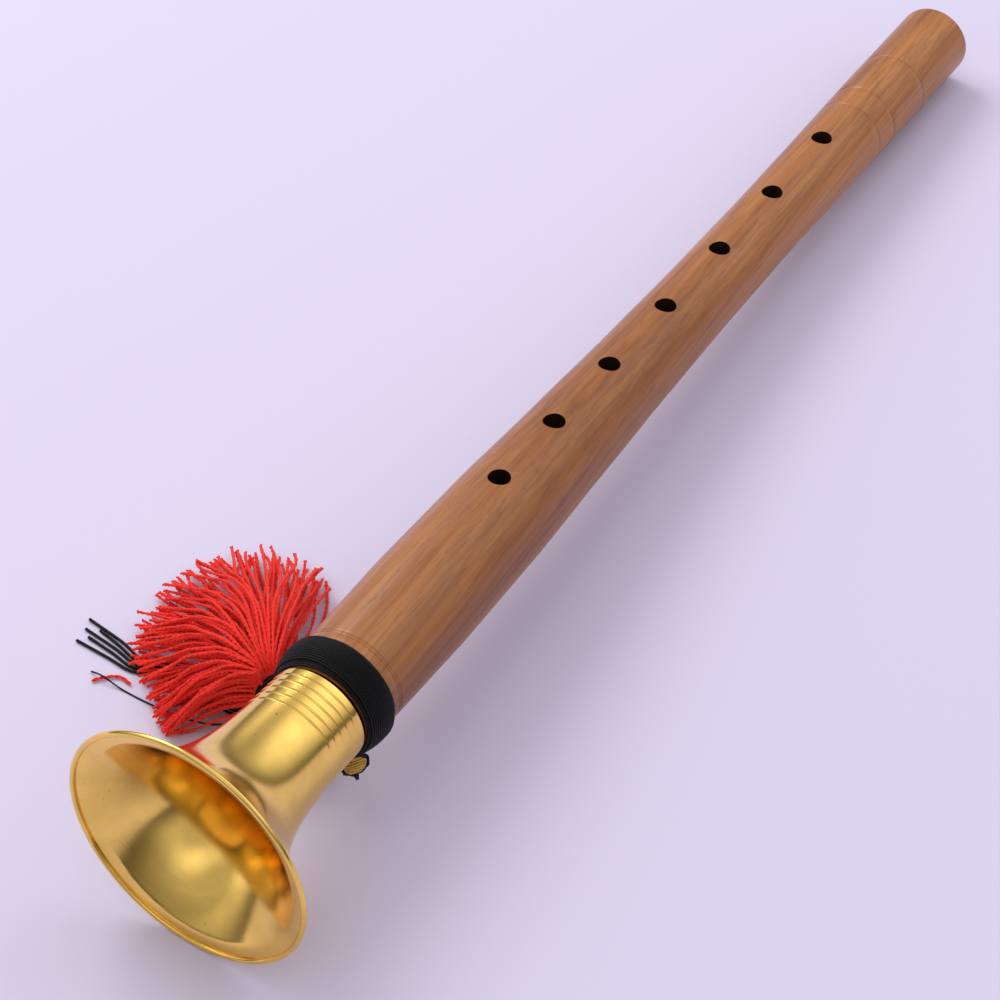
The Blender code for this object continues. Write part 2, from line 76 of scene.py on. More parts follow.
# Pipe; places are measured along it from the bell's mouth
LENGTH = 0.430
END_RADIUS = 0.0121
END_ROUNDING = 0.0012
END_POINTS = 6
SHOULDER_PLACE = 0.058
SHOULDER_RADIUS = 0.0142
# Each row is a place and the outer radius there
OUTLINE = (
    (SHOULDER_PLACE, SHOULDER_RADIUS), (0.0690, 0.0155), (0.0850, 0.01577), (0.1050, 0.01605),
    (0.1450, 0.0155), (0.1850, 0.0140), (0.2250, 0.01267), (0.2650, 0.0118), (0.3070, 0.01145),
    (0.3450, 0.01168), (0.3890, END_RADIUS), (LENGTH, END_RADIUS),
)
OUTLINE_TOP = LENGTH - 0.0015
OUTLINE_ROWS = 94
PIPE_STEPS = 96
SCRIBED_PLACES = (0.0722, 0.0731, 0.3640, 0.3742, 0.3960)
SCRIBED_HALF = 0.00022
SCRIBED_DEPTH = 0.7 * SCRIBED_HALF
BORE_TOP = 0.0042
BORE_FOOT = 0.0078
BORE_EASE = 0.0004
HOLE_PLACES = (0.1465, 0.1762, 0.2076, 0.2411, 0.2749, 0.3093, 0.3432)
HOLE_RADIUS = 0.0033
HOLE_SIDES = 48
DRILL_RUN_OUT = 0.0030
# Faces this far inside the outer side, and not this near the top end, get the wood with painted shade
PAINTED_SHADE_DEPTH = 0.0010
PAINTED_SHADE_END_GAP = 0.0005
WORN_EDGE = 0.00025
WORN_ANGLE = radians(50)

# Tenon, turned a little askew to the pipe, and the thread lapped round it
TENON_LENGTH = 0.021
TENON_RADIUS = 0.0118
TENON_SKEW = radians(1.7)
TENON_CHAMFER = 0.0008
TENON_STEPS = 64
TENON_END = SHOULDER_PLACE - TENON_LENGTH
LAPPING_LENGTH = 0.0150
LAPPING_THICKNESS = 0.0009
LAPPING_THREAD = 0.00082
LAPPING_MIDDLE = 0.01258
LAPPING_INSET = 0.0004
LAPPING_TURNS = 26
LAPPING_POINTS = 24

# Bell, spun from sheet brass
MOUTH_RADIUS = 0.0362
LIP_RADIUS = 0.0008
LIP_ANGLES = (radians(40), radians(-200))
LIP_POINTS = 15
FLARE_LENGTH = 0.0132
FLARE_POWER = 1.1
WALL = 0.0010
COLLAR_RADIUS = SHOULDER_RADIUS + SEAT_GAP
COLLAR_EDGE = SHOULDER_PLACE - 0.0008
COLLAR_CHAMFER = 0.0002
COLLAR_INNER = TENON_RADIUS + SEAT_GAP + LAPPING_THICKNESS + SEAT_GAP
LAPPING_END = COLLAR_EDGE - LAPPING_LENGTH
GROOVES = tuple(0.0438 + 0.0027 * i for i in range(5))
GROOVE_HALF = 0.00040
GROOVE_DEPTH = 0.00034
GROOVE_SIDE_DEPTH = 0.00022
OUTER_PLACES = (0.0565, 0.0012)
OUTER_ROWS = 70
INNER_PLACES = (0.0022, LAPPING_END - 0.001)
INNER_ROWS = 44
SLOPE_STEP = 0.0002
BELL_STEPS = 160

# Resting attitude: the rim's and the top end's lowest points both touch the table
FLAT = cos(pi / FRAME_SIDES)
RIM_RADIUS = MOUTH_RADIUS + LIP_RADIUS
LEAN = atan2((RIM_RADIUS - END_RADIUS) * FLAT, LENGTH - END_ROUNDING - LIP_RADIUS)
MOUTH_HEIGHT = RIM_RADIUS * FLAT * cos(LEAN) + LIP_RADIUS * sin(LEAN)

# Where things are, from the frame; the reed seat's point is on the end face, above the pipe's axis
KNOT = Vector(next(joint for joint in frame["joints"] if joint["name"] == "tassel_swing")["pos_m"])
HOOK = Vector(next(joint for joint in frame["joints"] if joint["name"] == "pendant_swing")["pos_m"])
SEAT = next(mount for mount in frame["record"]["mounts"] if mount["name"] == "reed_seat")["pos_m"]
SEAT_ABOVE_AXIS = 0.0075
AXIS_SIDE = SEAT[1]
MOUTH = Vector((SEAT[0] - LENGTH * cos(LEAN) - SEAT_ABOVE_AXIS * sin(LEAN), AXIS_SIDE, MOUTH_HEIGHT))
PIPE = Matrix.Translation(MOUTH) @ Matrix.Rotation(pi / 2 + LEAN, 4, "Y")
FOOT = PIPE @ Matrix.Translation((0, 0, SHOULDER_PLACE)) @ Matrix.Rotation(TENON_SKEW, 4, "X")
FOOT = FOOT @ Matrix.Translation((0, 0, -SHOULDER_PLACE))

# Thread binding over the joint between pipe and bell
BINDING_LENGTH = 0.011
HEAP = 0.0009
CORE_PLACES = (0.0683, 0.0586)
CORE_ROWS = 12
CORE_OUTER_RISE = 0.00005
CORE_INNER_RISE = 0.00015
CORE_STEPS = 64
WINDING_THREAD = 0.00062
WINDING_PLACES = (0.0580, 0.0687)
# Each layer's rise over the core and its number of turns
WINDING_LAYERS = ((0.0003, 18), (0.0008, 13))
WINDING_POINTS = 36
LAYER_INSET = 0.0010
LAYER_SWAY = 0.00045
TURN_SWAY = 0.00012
TURN_WAVES = 3
TURN_RISE = 0.00007
RISE_WAVES = 5
RISE_DRIFT = 90
KNOT_ANGLE = radians(98)
KNOT_THREAD = 0.0008
KNOT_LOOPS = 3
KNOT_POINTS = 24
KNOT_WIDTH = 0.0011
KNOT_HEIGHT = 0.0010
KNOT_SWAY = 0.00025
KNOT_WAVES = 3

# Tassel's head, neck and tie; places are measured from the neck, out along the fan
NECK_HEIGHT = 0.020
NECK_OUT = 0.021
FAN_DIRECTION = radians(72)
FAN_OUT = Vector((cos(FAN_DIRECTION), sin(FAN_DIRECTION), 0))
FAN_ACROSS = Vector((sin(FAN_DIRECTION), -cos(FAN_DIRECTION), 0))
FAN = Vector((KNOT.x, AXIS_SIDE + NECK_OUT, 0))
NECK = Matrix.Translation(FAN + Vector((0, 0, NECK_HEIGHT)))
NECK = NECK @ Matrix.Rotation(FAN_DIRECTION, 4, "Z") @ Matrix.Rotation(pi / 2, 4, "Y")
HEAD_RADIUS = 0.0050
HEAD_BACK = 0.0025
NECK_RADIUS = 0.0036
# Each row is a radius and its place
SKIRT = [(0.0, 0.0055), (0.0030, 0.0048), (0.0044, 0.0034), (NECK_RADIUS - SEAT_GAP, 0.0022)]
DOME_RADIUS = 0.0046
DOME_ANGLES = (radians(48), pi)
DOME_POINTS = 14
HEAD_STEPS = 40
FOLDED_COUNT = 26
FOLDED_RADIUS = 0.0047
FOLDED_UNEVEN = 0.0003
FOLDED_ANGLES = (radians(44), radians(172))
FOLDED_POINTS = 22
FOLDED_LEAN = 0.12
FOLDED_WAVE = 2.4
FOLDED_PLY = 0.0006
FOLDED_PLY_OFFSET = 0.00026
FOLDED_PITCH = 0.0040
TIE_THREAD = 0.0014
TIE_RADIUS = NECK_RADIUS + SEAT_GAP + TIE_THREAD / 2
TIE_PLACE = HEAD_RADIUS * cos(asin((NECK_RADIUS + SEAT_GAP) / HEAD_RADIUS)) - HEAD_BACK
TIE_PLACE += SEAT_GAP + TIE_THREAD / 2
# Loops of thinner thread stand for the frame's tie, each other one sunk deeper into the yarn
TIE_LOOPS = 4
TIE_POINTS = 40
TIE_PLY = 0.0007
TIE_START = 0.0006
TIE_PITCH = 0.0004
TIE_SINK = 0.0004
TIE_STEP = 0.0003
TIE_SWAY = 0.0001
HANGER_BELOW_KNOT = 0.0014
HANGER_ABOVE_HEAD = 0.0001
HANGER_STEP = 0.0004
HANGER_PLY = 0.0007
HANGER_PLY_OFFSET = 0.0003
HANGER_PITCH = 0.0030

# Fan of loose strands
FAN_EDGES = (18.5, 121)
FAN_CROWDING = 0.92
# Each row is a direction in degrees from the pipe's line and the fan's reach there
FAN_REACH = (
    (18, 0.058), (24, 0.061), (36, 0.071), (48, 0.072), (60, 0.067), (72, 0.062), (84, 0.055),
    (95, 0.044), (104, 0.036), (115, 0.033), (122, 0.031),
)
# Each row is a share of the reach and the height of the fan's top or underside there
FAN_TOP = ((0.0, 0.0250), (0.18, 0.0285), (0.42, 0.0265), (0.65, 0.0190), (0.86, 0.0100), (1.0, 0.0036))
FAN_LOW = ((0.0, 0.0155), (0.18, 0.0120), (0.42, 0.0070), (0.65, 0.0030), (0.86, 0.0012), (1.0, 0.0010))
# The frame's tufts that each group of strands stands for
TUFT_GROUPS = ((1, 2), (3, 4, 5), (6, 7, 8))
STRAND_SHARES = (0.12, 0.26, 0.40, 0.54, 0.68, 0.80, 0.90, 1.0)
STRAND_START = -0.0008
STRAND_STEP = 0.0016
STRAND_LOWEST = 0.0008
DIRECTION_STRAY = 1.5
REACH_STRAY = (0.90, 1.01)
LEVEL_TURN = 0.618034
LEVEL_POWER = 0.8
SWIRL_DEGREES = (5, 12)
SWIRL_START = radians(40)
SWIRL_RISE = radians(30)
SWIRL_STRETCH = 1.05
WANDER = radians(3.4)
WANDER_WAVE = 6
RIPPLE = 0.0004
RIPPLE_WAVE = 9
NECK_FILL = 0.92
NECK_FLATTEN = 0.4
NECK_HALF = 0.0024
NECK_RISE = 0.0030
NECK_TURN = radians(52)
NECK_SIDE = 0.9
YARN_PITCH = 0.0042
PLY_OFFSET = 0.24
PLY_THICKNESS = 0.54
STRAY_ROUTE = ((-0.0050, 0.0462), (-0.0044, 0.0503), (-0.0068, 0.0539), (-0.0096, 0.0561))
STRAY_HEIGHT = 0.0007
STRAY_STEP = 0.0010
STRAY_PLY_OFFSET = 0.22
STRAY_PLY_THICKNESS = 0.5

# Loose ends of the tie, which lie on the table; each route is (along, out, height) from under the neck
TAIL = 0.0009
TAIL_PITCH = 0.0013
TAIL_ROUTE = (
    (0.0010, 0.0034, 0.0112), (0.0018, 0.0105, 0.0045), (0.0036, 0.0190, 0.0),
    (0.0062, 0.0300, 0.0), (0.0044, 0.0400, 0.0), (0.0016, 0.0490, 0.0),
)
TAIL_SPREAD = 0.0570
TAIL_ENDS = ((0.0086, 0.0706), (0.0068, 0.0655), (0.0051, 0.0693), (0.0030, 0.0668), (0.0003, 0.0689))
THIN_THREAD = 0.0005
THIN_START = -0.0041
THIN_ROUTE = (
    (-0.0031, 0.0040, 0.0120), (-0.0036, 0.0110, 0.0048), (-0.0050, 0.0190, 0.0),
    (-0.0072, 0.0280, 0.0), (-0.0078, 0.0375, 0.0), (-0.0076, 0.0470, 0.0),
    (-0.0074, 0.0540, 0.0015), (-0.0067, 0.0585, 0.0),
)

# Pendant, a bead wound with gilt thread in a black edging
BEAD_DROP = 0.0062
BEAD_TURN = radians(-35)
BEAD = Matrix.Translation(HOOK - Vector((0, 0, BEAD_DROP))) @ Matrix.Rotation(BEAD_TURN, 4, "Z")
BEAD = BEAD @ Matrix.Rotation(pi / 2, 4, "X")
BEAD_RADIUS = 0.0029
BEAD_HALF = 0.0012
BEAD_POINTS = 16
BEAD_STEPS = 32
GILT_THREAD = 0.0006
GILT_ROWS = 7
GILT_POINTS = 13
GILT_TOP = 0.0024
GILT_REACH = 0.0030
GILT_BOW = 0.0006
GILT_EDGE = 0.0031
GILT_DOME = 0.0014
GILT_LIFT = 0.0001
EDGING_THREAD = 0.0006
EDGING_LOOPS = 3
EDGING_POINTS = 96
EDGING_RADIUS = 0.0036
EDGING_PITCH = 0.00016
EDGING_WAVES = 9
EDGING_SHIFT = 2.1
EDGING_SWAY = 0.00022
EDGING_DEPTH = 0.00035
TUFT_FIBRES = 16
TUFT_FIBRE = 0.00028
TUFT_TOP = -0.0038
TUFT_TIP = -0.0062
TUFT_ASIDE = 0.0006
TUFT_WIDTH = 0.0010
TUFT_DEPTH = 0.0005
TUFT_STRAY = 0.0004
TUFT_UNEVEN = 0.0006
LOOP_PLACES = (-0.0002, -0.0024)
LOOP_POINTS = 8
LOOP_PLY = 0.0005
LOOP_PLY_OFFSET = 0.0002
LOOP_PITCH = 0.0016

# Camera, fitted to the bell's rim, the finger holes and the top end
CAMERA_FROM_MOUTH = Vector((-0.35100, -0.30647, 0.63558))
CAMERA_YAW = radians(31.583)
CAMERA_PITCH = radians(45.780)
CAMERA_LENS = 108.34
CAMERA_SENSOR = 36
CAMERA_FAR = 50

# Floor, room and window, in metres
FLOOR_SIZE = 6
WINDOW_PLACE = Vector((0.35, 1.15, 1.25))
WINDOW_AIM = Vector((-0.1, 0, 0))
WINDOW_SIZE = (1.1, 0.8)
WINDOW_COLOUR = (1.0, 0.97, 0.93)
# Shares of the way up the room, with its colour there
ROOM_COLOURS = ((0.10, (0.22, 0.21, 0.22, 1)), (0.62, (1.25, 1.25, 1.30, 1)))
PANEL_SCALE = 1.25
PANEL_NOISE = (0.36, 0.60)
PANEL_LIGHT = (0.50, 1.20)


# Measures and routes


def between(a, b, share):
    """The value a share of the way from a to b."""
    return a + (b - a) * share


def spaced(a, b, count):
    """Evenly spaced values from a to b, both included."""
    return [between(a, b, i / (count - 1)) for i in range(count)]


def around(count):
    """Evenly spaced angles round a circle."""
    return spaced(0, 2 * pi, count + 1)[:-1]


def along(table, x):
    """A value from a table of (x, value), eased a little between its rows."""
    for (x0, v0), (x1, v1) in zip(table, table[1:]):
        if x <= x1:
            share = max(0.0, (x - x0) / (x1 - x0))
            eased = share * share * (3 - 2 * share)
            return between(v0, v1, eased * ROW_EASE + share * (1 - ROW_EASE))
    return table[-1][1]


def smooth_route(points, step):
    """Points every step or so on a smooth curve through the given ones."""
    knots = [Vector(p) for p in points]
    knots = [knots[0] * 2 - knots[1]] + knots + [knots[-1] * 2 - knots[-2]]
    route = [knots[1]]
    for a, b, c, d in zip(knots, knots[1:], knots[2:], knots[3:]):
        count = max(1, round((c - b).length / step))
        for i in range(1, count + 1):
            t = i / count
            rise = (a * 2 - b * 5 + c * 4 - d) * t**2
            bend = (b * 3 - a - c * 3 + d) * t**3
            route.append((b * 2 + (c - a) * t + rise + bend) / 2)
    return route


def plied(route, radius, pitch, turn):
    """Two plies that wind round each other along a route."""
    plies = ([], [])
    run = turn
    for i, point in enumerate(route):
        ahead = route[min(i + 1, len(route) - 1)] - route[max(i - 1, 0)]
        ahead.normalize()
        side = ahead.cross(Vector((0, 0, 1)))
        side = side.normalized() if side.length > 0.01 else Vector((0, 1, 0))
        up = side.cross(ahead)
        if i:
            run += (point - route[i - 1]).length / pitch * 2 * pi
        for ply, half in zip(plies, (0, pi)):
            ply.append(point + (side * cos(run + half) + up * sin(run + half)) * radius)
    return plies


def pipe_radius(place):
    """The pipe's outer radius at a place along it."""
    return along(OUTLINE, place)


def bore_radius(place):
    """The bore's radius at a place along the pipe."""
    return between(BORE_FOOT, BORE_TOP, (place - TENON_END) / (LENGTH - TENON_END))


def bell_radius(place):
    """The bell's outer radius at a place along it."""
    flare = (MOUTH_RADIUS - COLLAR_RADIUS) * exp(-((max(0.0, place) / FLARE_LENGTH) ** FLARE_POWER))
    return COLLAR_RADIUS + flare


def binding_radius(place):
    """The radius on which the binding's thread lies."""
    share = (place - SHOULDER_PLACE) / BINDING_LENGTH
    return pipe_radius(place) + SEAT_GAP + HEAP * sin(pi * min(1.0, max(0.0, share)))


# Materials


def add_node(tree, kind, **values):
    """A node with its properties set, and its sockets by name."""
    node = tree.nodes.new(kind)
    for key, value in values.items():
        if key in node.inputs:
            node.inputs[key].default_value = value
        else:
            setattr(node, key, value)
    return node


def socketed_group(name, inputs, outputs):
    """An empty shader group with named inputs and outputs."""
    group = bpy.data.node_groups.new(name, "ShaderNodeTree")
    for label, kind, value in inputs:
        socket = group.interface.new_socket(label, in_out="INPUT", socket_type=kind)
        socket.default_value = value
    for label, kind in outputs:
        group.interface.new_socket(label, in_out="OUTPUT", socket_type=kind)
    return group, group.nodes.new("NodeGroupInput"), group.nodes.new("NodeGroupOutput")


def mottle_group():
    """Two colours mixed by noise stretched along the object, and that noise as a mask."""
    if "Mottle" in bpy.data.node_groups:
        return bpy.data.node_groups["Mottle"]
    group, start, end = socketed_group(
        "Mottle",
        (
            ("Stretch", "NodeSocketVector", (1, 1, 1)),
            ("Scale", "NodeSocketFloat", 100.0),
            ("Dark", "NodeSocketColor", (0, 0, 0, 1)),
            ("Light", "NodeSocketColor", (1, 1, 1, 1)),
            ("Low", "NodeSocketFloat", 0.35),
            ("High", "NodeSocketFloat", 0.65),
        ),
        (("Color", "NodeSocketColor"), ("Mask", "NodeSocketFloat")),
    )
    coords = add_node(group, "ShaderNodeTexCoord")
    stretch = add_node(group, "ShaderNodeVectorMath", operation="MULTIPLY")
    noise = add_node(group, "ShaderNodeTexNoise", Detail=6.0, Roughness=0.6, Distortion=0.4)
    spread = add_node(group, "ShaderNodeMapRange")
    mix = add_node(group, "ShaderNodeMix", data_type="RGBA")
    link = group.links.new
    link(coords.outputs["Object"], stretch.inputs[0])
    link(start.outputs["Stretch"], stretch.inputs[1])
    link(stretch.outputs[0], noise.inputs["Vector"])
    link(start.outputs["Scale"], noise.inputs["Scale"])
    link(noise.outputs["Fac"], spread.inputs["Value"])
    link(start.outputs["Low"], spread.inputs["From Min"])
    link(start.outputs["High"], spread.inputs["From Max"])
    link(spread.outputs["Result"], mix.inputs[MIX_FACTOR])
    link(start.outputs["Dark"], mix.inputs[MIX_FIRST])
    link(start.outputs["Light"], mix.inputs[MIX_SECOND])
    link(mix.outputs[MIX_RESULT], end.inputs["Color"])
    link(spread.outputs["Result"], end.inputs["Mask"])
    return group


def mottle(tree, stretch, scale, dark, light, low, high):
    """The mottle group in a material, with its own colours and scale."""
    node = tree.nodes.new("ShaderNodeGroup")
    node.node_tree = mottle_group()
    node.inputs["Stretch"].default_value = stretch
    node.inputs["Scale"].default_value = scale
    node.inputs["Dark"].default_value = (*dark, 1)
    node.inputs["Light"].default_value = (*light, 1)
    node.inputs["Low"].default_value = low
    node.inputs["High"].default_value = high
    return node


def multiply(tree, first, second, factor=1.0):
    """One colour times another, by a factor."""
    mix = add_node(tree, "ShaderNodeMix", data_type="RGBA", blend_type="MULTIPLY")
    mix.inputs[MIX_FACTOR].default_value = factor
    tree.links.new(first, mix.inputs[MIX_FIRST])
    tree.links.new(second, mix.inputs[MIX_SECOND])
    return mix.outputs[MIX_RESULT]


def ranged(tree, value, after, before=(0.0, 1.0)):
    """A value spread from the range before to the range after."""
    node = add_node(tree, "ShaderNodeMapRange")
    node.inputs["From Min"].default_value, node.inputs["From Max"].default_value = before
    node.inputs["To Min"].default_value, node.inputs["To Max"].default_value = after
    tree.links.new(value, node.inputs["Value"])
    return node.outputs["Result"]


def bump_from(tree, shader, height, distance, strength):
    """Relief on a shader from a mask."""
    bump = add_node(tree, "ShaderNodeBump", Strength=strength, Distance=distance)
    tree.links.new(height, bump.inputs["Height"])
    tree.links.new(bump.outputs["Normal"], shader.inputs["Normal"])


def new_material(name, roughness, metallic=0.0):
    """A material with its tree and its shader."""
    material = bpy.data.materials.new(name)
    material.use_nodes = True
    shader = material.node_tree.nodes["Principled BSDF"]
    shader.inputs["Roughness"].default_value = roughness
    shader.inputs["Metallic"].default_value = metallic
    return material, material.node_tree, shader


def wood_material(name, dark, light):
    """Hardwood: long figure, finer streaks, darker vessels that are a little rough."""
    material, tree, shader = new_material(name, roughness=0.38)
    figure = mottle(
        tree, stretch=(0.055, 1.5, 1.5), scale=46.0, dark=dark, light=light, low=0.26, high=0.74,
    )
    streaks = mottle(
        tree, stretch=(0.012, 3.2, 3.2), scale=230.0, dark=(0.70, 0.61, 0.54),
        light=(1.05, 1.03, 1.0), low=0.30, high=0.60,
    )
    vessels = mottle(
        tree, stretch=(0.030, 4.5, 4.5), scale=560.0, dark=(0.55, 0.46, 0.40), light=WHITE,
        low=0.30, high=0.44,
    )
    colour = multiply(tree, figure.outputs["Color"], streaks.outputs["Color"])
    colour = multiply(tree, colour, vessels.outputs["Color"], factor=0.7)
    tree.links.new(colour, shader.inputs["Base Color"])
    tree.links.new(ranged(tree, vessels.outputs["Mask"], (0.50, 0.33)), shader.inputs["Roughness"])
    bump_from(tree, shader, vessels.outputs["Mask"], distance=0.00006, strength=0.5)
    return material


def thread_material(name, dark, light, shade, roughness, sheen=0.0, metallic=0.0):
    """Twisted thread or yarn, with fibre-scale colour and relief, and patches of a grey shade."""
    material, tree, shader = new_material(name, roughness, metallic)
    fibres = mottle(tree, stretch=EVEN, scale=1400.0, dark=dark, light=light, low=0.30, high=0.70)
    patches = mottle(
        tree, stretch=EVEN, scale=130.0, dark=(shade, shade, shade), light=WHITE, low=0.30, high=0.60,
    )
    colour = multiply(tree, fibres.outputs["Color"], patches.outputs["Color"])
    tree.links.new(colour, shader.inputs["Base Color"])
    shader.inputs["Specular IOR Level"].default_value = 0.2
    shader.inputs["Sheen Weight"].default_value = sheen
    shader.inputs["Sheen Roughness"].default_value = 0.5
    bump_from(tree, shader, fibres.outputs["Mask"], distance=0.00012, strength=0.7)
    return material


def oiled_wood(name, looks):
    """The polished wood of the pipe's outer side and its tenon."""
    return wood_material(name, looks.wood_dark, looks.wood_light)


def painted_shade_bore_wood(name, looks):
    """Unpolished wood of the bore, the hole walls and the shoulder, its colours darkened to near black
    as painted shade.
    """
    # Near-black colours: painted shade inside the bore and hole walls, over the real unpolished wood
    return wood_material(name, dark=(0.018, 0.008, 0.004), light=(0.045, 0.020, 0.010))


def polished_brass(name, looks):
    """Polished brass with faint turning marks, soft tarnish and a few dark spots."""
    material, tree, shader = new_material(name, roughness=0.2, metallic=1.0)
    dull = tuple(c * 0.80 for c in looks.brass_colour)
    tarnish = mottle(
        tree, stretch=EVEN, scale=60.0, dark=dull, light=looks.brass_colour, low=0.30, high=0.62,
    )
    spots = mottle(
        tree, stretch=EVEN, scale=620.0, dark=(0.30, 0.22, 0.14), light=WHITE, low=0.27, high=0.33,
    )
    turning = mottle(
        tree, stretch=(9.0, 0.12, 0.12), scale=240.0, dark=BLACK, light=WHITE, low=0.3, high=0.7,
    )
    colour = multiply(tree, tarnish.outputs["Color"], spots.outputs["Color"], factor=0.8)
    tree.links.new(colour, shader.inputs["Base Color"])
    tree.links.new(ranged(tree, tarnish.outputs["Mask"], (0.24, 0.11)), shader.inputs["Roughness"])
    bump_from(tree, shader, turning.outputs["Mask"], distance=0.00002, strength=0.35)
    return material


def black_thread(name, looks):
    """Waxed black thread."""
    return thread_material(
        name, dark=(0.0010, 0.0010, 0.0012), light=(0.0070, 0.0066, 0.0074), shade=0.72,
        roughness=0.50,
    )


def red_yarn(name, looks):
    """Soft red yarn."""
    dark = tuple(c * 0.90 for c in looks.yarn_colour)
    return thread_material(
        name, dark=dark, light=looks.yarn_colour, shade=0.90, roughness=0.85, sheen=0.05,
    )


def gilt_thread(name, looks):
    """Gilt metal thread."""
    return thread_material(
        name, dark=(0.40, 0.20, 0.03), light=(0.95, 0.62, 0.16), shade=0.72, roughness=0.34,
        metallic=0.85,
    )


MAKERS = {
    "oiled_wood_fine": oiled_wood,
    "painted_shade_bore_wood_fine": painted_shade_bore_wood,
    "polished_brass_fine": polished_brass,
    "black_thread_fine": black_thread,
    "red_yarn_fine": red_yarn,
    "gilt_thread_fine": gilt_thread,
}


def fine_material(name):
    """A material by its name, made when it is first asked for."""
    found = bpy.data.materials.get(name)
    return found or MAKERS[name](name, bpy.context.scene.shehnai_looks)


def floor_material(colour):
    """A matt floor in one colour."""
    material, _, shader = new_material("pale_floor", roughness=0.9)
    shader.inputs["Base Color"].default_value = (*colour, 1)
    shader.inputs["Specular IOR Level"].default_value = 0.0
    return material


# Ways of making pieces


def finish_piece(name, data, body, slot, stands_for=()):
    """Put a piece in the scene, in its slot's fine material, on its body."""
    piece = bpy.data.objects.new(name, data)
    bpy.context.scene.collection.objects.link(piece)
    data.materials.append(fine_material(f"{slot}_fine"))
    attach(piece, body)
    if stands_for:
        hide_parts(*stands_for)
    return piece


def spun_mesh(name, outline, steps, place, closed=True):
    """A turned shape: an outline of (radius, place) points spun round the axis, then set in place."""
    form = bmesh.new()
    points = [form.verts.new((radius, 0, height)) for radius, height in outline]
    ring = points + [points[0]] if closed else points
    edges = [form.edges.new(pair) for pair in zip(ring, ring[1:])]
    bmesh.ops.spin(
        form, geom=points + edges, cent=(0, 0, 0), axis=(0, 0, 1), angle=2 * pi, steps=steps,
        use_merge=True, use_duplicate=False,
    )
    bmesh.ops.remove_doubles(form, verts=form.verts, dist=MERGE_DISTANCE)
    bmesh.ops.recalc_face_normals(form, faces=form.faces)
    bmesh.ops.transform(form, matrix=place, verts=form.verts)
    mesh = bpy.data.meshes.new(name)
    form.to_mesh(mesh)
    form.free()
    mesh.shade_smooth()
    mesh.set_sharp_from_angle(angle=SHARP_ANGLE)
    return mesh


def strands(name, routes, diameter, body, slot, stands_for=(), resolution=2, cyclic=False):
    """Round strands along routes, as one curve object."""
    curve = bpy.data.curves.new(name, "CURVE")
    curve.dimensions = "3D"
    curve.bevel_depth = diameter / 2
    curve.bevel_resolution = resolution
    curve.use_fill_caps = True
    for route in routes:
        spline = curve.splines.new("POLY")
        spline.points.add(len(route) - 1)
        for point, at in zip(spline.points, route):
            point.co = (*at, 1)
        spline.use_cyclic_u = cyclic
    return finish_piece(name, curve, body, slot, stands_for)


# Pipe


def pipe_outline():
    """The pipe's outer side with its scribed rings, from the top end to the shoulder."""
    points = [
        (END_RADIUS - END_ROUNDING * (1 - sin(a)), LENGTH - END_ROUNDING * (1 - cos(a)))
        for a in spaced(0, pi / 2, END_POINTS)
    ]
    places = spaced(OUTLINE_TOP, SHOULDER_PLACE, OUTLINE_ROWS)
    for ring in SCRIBED_PLACES:
        places = [p for p in places if abs(p - ring) > 2 * SCRIBED_HALF]
        places += [ring + SCRIBED_HALF, ring, ring - SCRIBED_HALF]
    for place in sorted(places, reverse=True):
        depth = SCRIBED_DEPTH if place in SCRIBED_PLACES else 0.0
        points.append((pipe_radius(place) - depth, place))
    return points


def drill_forms():
    """One drill for each finger hole, from outside the wall into the bore, as one mesh."""
    drills = bmesh.new()
    turn = Matrix.Rotation(-pi / 2, 4, "Y")
    for place in HOLE_PLACES:
        reach = pipe_radius(place) + DRILL_RUN_OUT
        where = PIPE @ Matrix.Translation((-reach / 2, 0, place)) @ turn
        bmesh.ops.create_cone(
            drills, cap_ends=True, segments=HOLE_SIDES, radius1=HOLE_RADIUS, radius2=HOLE_RADIUS,
            depth=reach, matrix=where,
        )
    mesh = bpy.data.meshes.new("drills")
    drills.to_mesh(mesh)
    drills.free()
    return mesh


def drill_holes(pipe, context):
    """Cut the finger holes, and keep the result as the pipe's own mesh."""
    drill = bpy.data.objects.new("drills", drill_forms())
    context.scene.collection.objects.link(drill)
    cut = pipe.modifiers.new("Holes", "BOOLEAN")
    cut.solver = "EXACT"
    cut.object = drill
    context.view_layer.update()
    drilled = pipe.evaluated_get(context.evaluated_depsgraph_get())
    pipe_mesh = bpy.data.meshes.new_from_object(drilled)
    pipe.modifiers.clear()
    pipe.data = pipe_mesh
    bpy.data.objects.remove(drill)


def darken_inside(mesh):
    """Give the bore, the walls of the finger holes and the shoulder the unpolished wood, painted dark
    as their shade.
    """
    mesh.materials.append(fine_material("painted_shade_bore_wood_fine"))
    into_pipe = PIPE.inverted()
    for face in mesh.polygons:
        at = into_pipe @ face.center
        inside = hypot(at.x, at.y) < pipe_radius(max(SHOULDER_PLACE, at.z)) - PAINTED_SHADE_DEPTH
        if inside and at.z < LENGTH - PAINTED_SHADE_END_GAP:
            face.material_index = len(mesh.materials) - 1


def wear_edges(pipe):
    """Round the pipe's sharp edges a little, such as the holes' rims."""
    edge = pipe.modifiers.new("Worn edges", "BEVEL")
    edge.width = WORN_EDGE
    edge.segments = 2
    edge.limit_method = "ANGLE"
    edge.angle_limit = WORN_ANGLE


def turn_tenon():
    """The tenon, from inside the shoulder to its chamfered end."""
    inside = SHOULDER_PLACE + TENON_CHAMFER
    outline = [
        (TENON_RADIUS, inside),
        (TENON_RADIUS, TENON_END + TENON_CHAMFER),
        (TENON_RADIUS - TENON_CHAMFER, TENON_END),
        (BORE_FOOT, TENON_END),
        (bore_radius(SHOULDER_PLACE), inside),
    ]
    finish_piece("tenon", spun_mesh("tenon", outline, TENON_STEPS, FOOT), "pipe", "oiled_wood")


